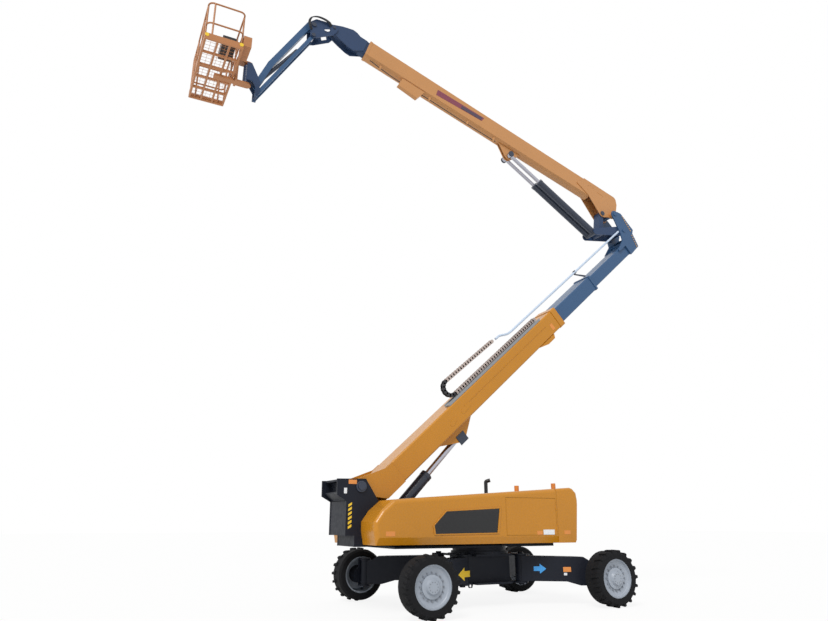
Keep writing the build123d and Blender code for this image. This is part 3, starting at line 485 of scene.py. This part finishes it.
def hard_chrome(name):
    """Hard chrome plate on a ground rod: a bright metal with fine grinding marks and a film of oil."""
    material = empty_material(name)
    tree = material.node_tree
    place = add(tree, "ShaderNodeTexCoord").outputs["Object"]
    # grinding marks of 1 mm, drawn at 5 mm so that they show
    marks = add(tree, "ShaderNodeTexNoise", {"Vector": place, "Scale": 1 / 0.005, "Detail": 2.0})
    oil = add(tree, "ShaderNodeTexNoise", {"Vector": place, "Scale": 1 / 0.12, "Detail": 3.0})
    shine = add(tree, "ShaderNodeMapRange", {"Value": oil.outputs[0], "From Min": 0.3, "From Max": 0.7,
                                             "To Min": 0.16, "To Max": 0.30})
    skin = add(tree, "ShaderNodeBump", {"Height": marks.outputs[0], "Strength": 0.04, "Distance": 0.002})
    shader = add(tree, "ShaderNodeBsdfPrincipled", {"Base Color": linear("#B4B5C0"), "Metallic": 1.0,
                                                    "Roughness": shine.outputs[0], "Normal": skin.outputs[0]})
    add(tree, "ShaderNodeOutputMaterial", {"Surface": shader.outputs[0]})
    return material


chrome = hard_chrome("hard_chrome")
dress(chrome, "tower_lift_rod", "main_lift_rods", "jib_rod")


# ---------------------------------------------------------------------------
# Cable chain and its guide tube
# Moulded nylon links in a pressed steel tray on top of the tower's base: one fixed loop that doesn't roll up.
# A pale enamelled tube goes on from its upper run to the tower's head, through a ring on the middle beam.
def repeated(part, places, headings):
    """Copies of a part, each turned by a heading and moved to a place: one rotation for all at once."""
    points, faces = part
    sine, cosine = np.sin(headings)[:, None], np.cos(headings)[:, None]
    x = places[:, :1] + points[:, 0] * cosine - points[:, 2] * sine
    z = places[:, 1:] + points[:, 0] * sine + points[:, 2] * cosine
    y = np.broadcast_to(points[:, 1], x.shape)
    copies = np.stack([x, y, z], axis=-1).reshape(-1, 3)
    return copies, [[corner + copy * len(points) for corner in face]
                    for copy in range(len(places)) for face in faces]


def chain_line(u_end, low, bend, radius, top_end, pitch):
    """Places and headings a pitch apart: along the lower run, half round the bend, along the upper run."""
    turn = np.linspace(-np.pi / 2, -3 * np.pi / 2, 24)
    arc = np.asarray(bend) + radius * np.column_stack([np.cos(turn), np.sin(turn)])
    route = np.concatenate([[(u_end, low)], arc, [top_end]])
    run = np.concatenate([[0], np.cumsum(np.linalg.norm(np.diff(route, axis=0), axis=1))])
    stops = np.arange(pitch / 2, run[-1], pitch)
    places = np.column_stack([np.interp(stops, run, route[:, axis]) for axis in (0, 1)])
    ahead = np.column_stack([np.interp(stops + 0.01, run, route[:, axis]) for axis in (0, 1)]) - places
    return places, np.arctan2(ahead[:, 1], ahead[:, 0])


nylon = enamelled_steel("moulded_nylon", "#B9A9A2", roughness=0.55, dust=0.10)
# the same nylon darkened, a painted shade on the links round the chain's bend
painted_shade_nylon = enamelled_steel("painted_shade_nylon", "#26262B", roughness=0.55, dust=0.06)
link_pitch = 0.088
places, headings = chain_line(6.55, 0.010, (3.27, 0.195), 0.185, (5.05, 0.335), link_pitch)
link_plate = slot_side((-0.020, 0), (0.020, 0), 0.046, 5)
link = together(plate(link_plate, -0.250, -0.238), plate(link_plate, -0.162, -0.150),
                plate(bar(-0.016, 0.016, -0.030, 0.030), -0.238, -0.162))
on_beam = on_tower(places)
bend_link, bend_reach = 40, 4   # the link in the middle of the bend, and how many links each way are darkened as painted shade
at_bend = np.abs(np.arange(len(places)) - bend_link) < bend_reach
piece("chain_links", repeated(link, on_beam[~at_bend], headings[~at_bend] + tower_turn), nylon, "tower_base")
piece("chain_bend", repeated(link, on_beam[at_bend], headings[at_bend] + tower_turn), painted_shade_nylon,
      "tower_base")
tray_bottom = on_tower(bar(2.90, 6.60, -0.100, -0.060))
tray_lip = on_tower(bar(2.90, 6.60, -0.060, -0.034))
tray = together(plate(tray_bottom, -0.325, -0.125), plate(tray_lip, -0.325, -0.319),
                plate(tray_lip, -0.131, -0.125))
chain_tray = piece("chain_tray", tray, galvanised, "tower_base")
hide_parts("cable_track")


def tube(route, radius, count=14):
    """A circle carried along a route, square to its direction at each point, with a cap at each end."""
    route = np.asarray(route, float)
    along = np.gradient(route, axis=0)
    along /= np.linalg.norm(along, axis=1)[:, None]
    across = np.cross(along, (0.13, 0.97, 0.21))
    across /= np.linalg.norm(across, axis=1)[:, None]
    turn = np.linspace(0, 2 * np.pi, count, endpoint=False)
    ring = np.cos(turn)[:, None] * across[:, None] + np.sin(turn)[:, None] * np.cross(across, along)[:, None]
    points = (route[:, None] + radius * ring).reshape(-1, 3)
    row, column = np.meshgrid(np.arange(len(route) - 1), np.arange(count), indexing="ij")
    first, second = row * count + column, row * count + (column + 1) % count
    walls = np.stack([first, second, second + count, first + count], axis=-1).reshape(-1, 4).tolist()
    last = (len(route) - 1) * count
    return points, walls + [list(range(count))[::-1], [last + corner for corner in range(count)]]


def eased(points, steps=8):
    """A smooth route through points: cubics whose slope at a point is half the way past it."""
    points = np.asarray(points, float)
    padded = np.concatenate([[2 * points[0] - points[1]], points, [2 * points[-1] - points[-2]]])
    t = np.linspace(0, 1, steps, endpoint=False)[:, None]
    before, start, end, after = [padded[k:len(padded) - 3 + k, None] for k in range(4)]
    curve = 0.5 * (2 * start + (end - before) * t + (2 * before - 5 * start + 4 * end - after) * t ** 2
                   + (3 * start - before - 3 * end + after) * t ** 3)
    return np.concatenate([curve.reshape(-1, points.shape[1]), points[-1:]])


pale = enamelled_steel("pale_blue_enamel", "#C3D2E6", roughness=0.28, dust=0.03)
tube_level, tube_y = 0.21, -0.297
tube_side = on_tower(eased([(5.10, 0.335), (5.26, 0.325), (5.44, 0.245), (5.62, tube_level),
                            (6.2, tube_level), (8.4, tube_level), (11.05, tube_level)]))
guide_tube = piece("guide_tube", tube(np.insert(tube_side, 1, tube_y, axis=1), 0.030), pale, "tower_head")
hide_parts("cable_tube")
clamp_side = on_tower([(8.60, 0.16), (8.66, 0.16), (8.97, -0.085), (8.90, -0.100)])
piece("tube_clamp", plate(clamp_side, -0.250, -0.240), steel_blue, "tower_mid", edge=0.002)
ring_side = on_tower([(8.585, tube_level), (8.615, tube_level), (8.675, tube_level)])
piece("clamp_ring", tube(np.insert(ring_side, 1, tube_y, axis=1), 0.048), steel_blue, "tower_mid",
      bores=[on_tower(bar(8.50, 8.75, 0.176, 0.244))])


# ---------------------------------------------------------------------------
# Elbow
# Two rows of plated bolts run down the tower head's near ear; the yoke below the boom is flame-cut plate.
# The link from the yoke to the boom's foot is one block 260 mm wide, with a hub on each side of its low end.
ear_face = -0.300
gold_bolt = enamelled_steel("passivated_bolt", "#C9A06A", roughness=0.35, dust=0.05)
upper_row = np.column_stack([np.linspace(11.64, 11.57, 8), np.linspace(0.46, -0.02, 8)])
lower_row = np.column_stack([np.linspace(11.50, 11.40, 6), np.linspace(-0.16, -0.49, 6)])
ear_bolts = np.concatenate([upper_row, lower_row]) - (0.07, 0)
bolt_heads = [on_face(round_side(place, 0.020, 6), ear_face, 0.014, 0.001) for place in on_tower(ear_bolts)]
piece("ear_bolts", together(*bolt_heads), gold_bolt, "tower_head")
elbow_pin = on_tower([(11.372, 0.681)])[0]
link_low, link_high = np.array((4.485, 9.871)), np.array((4.570, 10.509))
link_side = np.concatenate([round_side(link_low, 0.085, 24)[12:], round_side(link_high, 0.072, 24)[:13]])
link_bore = round_side(link_low, 0.0505)
link_body = piece("link_body", plate(link_side, -0.130, 0.130), dark_blue, "elbow_link", edge=0.006,
                  bores=[link_bore])
piece("link_hub", pair(round_side(link_low, 0.085), 0.1305, 0.205), dark_blue, "elbow_link",
      bores=[link_bore])
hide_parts("elbow_link")


# ---------------------------------------------------------------------------
# Main boom
# A folded beam 290 mm wide with a bent keel, doublers that make the fork at its foot, and cylinder lugs.
# It is sprayed a lighter orange than the tower; the inner beam, in the slate blue darkened as painted shade,
# carries humped cheeks.
boom_turn = math.radians(18.6)


def on_boom(side):
    """A side view of the boom turned down by its angle about the elbow's pin: u along it, v square to it."""
    u, v = np.asarray(side, float).T
    return elbow_pin + np.column_stack([u * math.cos(boom_turn) + v * math.sin(boom_turn),
                                        v * math.cos(boom_turn) - u * math.sin(boom_turn)])


def boom_section(inset):
    """The beam's profile of y and v: flat top, upright sides and bent keel, all drawn in by an inset."""
    half, keel = 0.145 - inset, 0.080 - 0.5 * inset
    low, lowest, top = 0.225 + 0.7 * inset, 0.180 + inset, 0.680 - inset
    return np.array([(-half, low), (-keel, lowest), (keel, lowest), (half, low), (half, top), (-half, top)])


def hollow_beam(start, end, outer, inner):
    """A tube along the boom: outer and inner profiles at both ends, joined by walls and a rim at each end."""
    loops = []
    for u, profile in ((start, outer), (end, outer), (start, inner), (end, inner)):
        side = on_boom(np.column_stack([np.full(len(profile), u), profile[:, 1]]))
        loops.append(np.column_stack([side[:, 0], profile[:, 0], side[:, 1]]))
    count = len(outer)
    k = np.arange(count)
    after = (k + 1) % count
    joins = ((0, 1), (2, 3), (0, 2), (1, 3))
    walls = [np.column_stack([k + a * count, after + a * count, after + b * count, k + b * count])
             for a, b in joins]
    return np.concatenate(loops), np.concatenate(walls).tolist()


tan = enamelled_steel("tan_orange_enamel", "#C48A52", roughness=0.26, dust=0.03, dust_colour="#E2D6BE")
beam_end = -8.590   # u of the outer beam's mouth, which a collar stiffens
outer_beam = hollow_beam(beam_end, -0.900, boom_section(0.0), boom_section(0.010))
collar = hollow_beam(beam_end, -8.520, boom_section(-0.006), boom_section(0.0305))
boom_shell = piece("boom_shell", together(outer_beam, collar), tan, "main_boom", edge=0.004)
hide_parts("main_boom")
foot_side = on_boom([(-1.230, 0.676), (-1.215, 0.692), (-0.040, 0.686), (0.040, 0.640), (0.115, 0.480),
                     (0.135, 0.300), (0.108, 0.020), (0.070, -0.078), (0, -0.105), (-0.070, -0.100),
                     (-0.230, -0.190), (-0.345, -0.215), (-0.430, -0.165), (-0.960, 0.227),
                     (-1.430, 0.400)])
foot_bore = round_side(elbow_pin, 0.0605)
piece("boom_foot", pair(foot_side, 0.1450, 0.165), tan, "main_boom", edge=0.004, bores=[foot_bore])
piece("boom_boss", pair(round_side(elbow_pin, 0.095), 0.1655, 0.256), tan, "main_boom", bores=[foot_bore])
fork_top = plate(on_boom(bar(-0.910, -0.060, 0.654, 0.674)), -0.145, 0.145)
fork_end = plate(on_boom(bar(-0.930, -0.905, 0.245, 0.665)), -0.134, 0.134)
piece("boom_fork_plates", together(fork_top, fork_end), tan, "main_boom")
swage_bent = [(-1.06, 0.52), (-0.92, 0.60), (-0.80, 0.56), (-0.80, 0.545), (-0.92, 0.58), (-1.05, 0.505)]
swage_flat = [(-0.66, 0.50), (-0.42, 0.49), (-0.42, 0.475), (-0.66, 0.485)]
foot_swages = [plate(on_boom(shape), -0.169, -0.1652) for shape in (swage_bent, swage_flat)]
piece("foot_swages", together(*foot_swages), tan, "main_boom")
piece("link_pin_caps", pair(round_side(link_high, 0.058), 0.134, 0.1448), steel_blue, "main_boom")
piece("link_pin_covers", pair(round_side(link_high, 0.070), 0.1655, 0.185), steel_blue, "main_boom",
      edge=0.004)
lug_pin = on_boom([(-3.757, -0.070)])[0]
lug_side = on_boom([(-4.280, 0.183), (-4.170, 0.168), (-3.880, -0.120), (-3.810, -0.165), (-3.710, -0.165),
                    (-3.650, -0.105), (-3.440, 0.168), (-3.340, 0.183)])
piece("boom_lugs", pair(lug_side, 0.030, 0.054), tan, "main_boom", edge=0.003)
piece("lug_pin", plate(round_side(lug_pin, 0.0449), -0.176, 0.176), steel_blue, "main_boom")
piece("lug_caps", pair(round_side(lug_pin, 0.085), 0.1765, 0.210), steel_blue, "main_boom", edge=0.004)
box_side = on_boom([(-7.422, 0.178), (-7.465, -0.095), (-6.860, -0.149), (-6.715, 0.178)])
piece("hose_box", plate(box_side, -0.150, -0.030), tan, "main_boom", edge=0.006)
stripe_side = on_boom([(-6.40, 0.520), (-6.40, 0.330), (-4.90, 0.420), (-4.85, 0.560)])
maroon_film = printed_film("maroon_film", "#7C2440")
navy_film = printed_film("navy_film", "#3B2742")
piece("stripe", plate(stripe_side, -0.148, -0.146), maroon_film, "main_boom")
stripe_end_side = on_boom([(-5.60, 0.500), (-5.60, 0.395), (-4.93, 0.432), (-4.90, 0.535)])
piece("stripe_end", plate(stripe_end_side, -0.150, -0.1485), navy_film, "main_boom")
line_side = on_boom(eased([(-8.40, 0.135), (-7.60, 0.06), (-6.60, 0.085), (-5.40, 0.075), (-4.30, 0.085)]))
piece("boom_line", tube(np.insert(line_side, 1, -0.100, axis=1), 0.011, 8), black, "main_boom")
bracket_width = 0.05
brackets = [plate(on_boom(bar(u, u + bracket_width, 0.07, 0.19)), -0.112, -0.088)
            for u in (-8.1, -6.55, -5.3, -4.4)]
piece("line_brackets", together(*brackets), tan, "main_boom")
tip_pin = on_boom([(-9.571, 0.376)])[0]
tip_beam = piece("tip_beam", hollow_beam(-8.780, -3.400, boom_section(0.036), boom_section(0.046)), dark_blue,
                 "main_tip", edge=0.003)
hump_side = on_boom([(-8.655, 0.275), (-8.655, 0.636), (-8.880, 0.640), (-8.990, 0.690), (-9.110, 0.705),
                     (-9.230, 0.665), (-9.400, 0.600), (-9.620, 0.480), (-9.686, 0.376), (-9.620, 0.276),
                     (-9.300, 0.170), (-9.050, 0.105), (-8.900, 0.100)])
piece("tip_cheeks", pair(hump_side, 0.1085, 0.133), dark_blue, "main_tip", edge=0.004,
      bores=[round_side(tip_pin, 0.0402)])
piece("tip_pin_bar", plate(round_side(tip_pin, 0.040), -0.178, 0.178), steel_blue, "main_tip")
cross_side = on_boom([(-9.10, 0.22), (-8.72, 0.25), (-8.72, 0.27), (-9.10, 0.24)])
piece("tip_cross", plate(cross_side, -0.108, 0.108), dark_blue, "main_tip")
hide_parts("main_tip")


# ---------------------------------------------------------------------------
# Jib
# The mount is two thick plates on the boom's tip pin; the jib's upper beam and lower link are pinned to it.
# Hydraulic hoses in braided rubber arch over the joint.
jib_pin, jib_low = np.array((-4.575, 13.790)), np.array((-4.575, 13.470))
mount_side = [(-3.925, 13.905), (-3.985, 13.985), (-4.255, 14.005), (-4.519, 13.990), (-4.655, 13.870),
              (-4.665, 13.700), (-4.655, 13.440), (-4.590, 13.395), (-4.480, 13.430), (-4.060, 13.670),
              (-3.960, 13.800)]
window_side = [(-4.300, 13.770), (-4.150, 13.830), (-4.130, 13.730), (-4.270, 13.650)]
jib_plates = piece("jib_plates", pair(mount_side, 0.138, 0.164), dark_blue, "jib_mount", edge=0.004,
                   bores=[round_side(tip_pin, 0.0405), window_side])
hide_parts("jib_mount")
pin_end, cap_start, cap_end = 0.178, 0.1785, 0.190   # from the machine's middle out
piece("jib_pins", together(plate(round_side(jib_pin, 0.0349), -pin_end, pin_end),
                           pair(round_side(jib_low, 0.0299), 0.092, pin_end)), steel_blue, "jib_mount")
piece("jib_pin_caps", together(pair(round_side(jib_pin, 0.062), cap_start, cap_end),
                               pair(round_side(jib_low, 0.052), cap_start, cap_end)),
      steel_blue, "jib_mount", edge=0.003)
piece("mount_cross", plate(bar(-4.38, -4.48, 13.585, 13.605), -0.139, 0.139), dark_blue, "jib_mount")
hose = enamelled_steel("hose_rubber", "#1C1F26", roughness=0.6, dust=0.05)
arch = np.array([(-4.12, -0.166, 13.91), (-4.18, -0.205, 13.97), (-4.32, -0.215, 14.02),
                 (-4.50, -0.215, 14.03), (-4.65, -0.215, 13.96), (-4.71, -0.215, 13.82),
                 (-4.68, -0.205, 13.69), (-4.63, -0.166, 13.62)])
hose_radius, hose_step = 0.013, 0.024
hoses = [tube(eased(arch + np.array((shift, shift * 0.4, shift))), hose_radius, 8)
         for shift in (0.0, hose_step, -hose_step)]
piece("jib_hoses", together(*hoses), hose, "jib_mount")


# ---------------------------------------------------------------------------
# Platform
# Rails, floor frame and gate are bent and welded steel tube in a brown enamel, round an open grating.
# A tool tray hangs at the near end, with a yellow disc at each corner; the control box is at the boom side.
brown = enamelled_steel("brown_enamel", "#B47748", roughness=0.4, dust=0.04)
dress(brown, "basket_floor", "basket_rails", "basket_gate", "tool_tray")
dress(dark_blue, "platform_bracket")
discs = [plate(round_side((x, 11.705), 0.045), -1.157, -1.1535) for x in (-7.195, -6.455)]
piece("corner_discs", together(*discs), yellow_film, "platform")
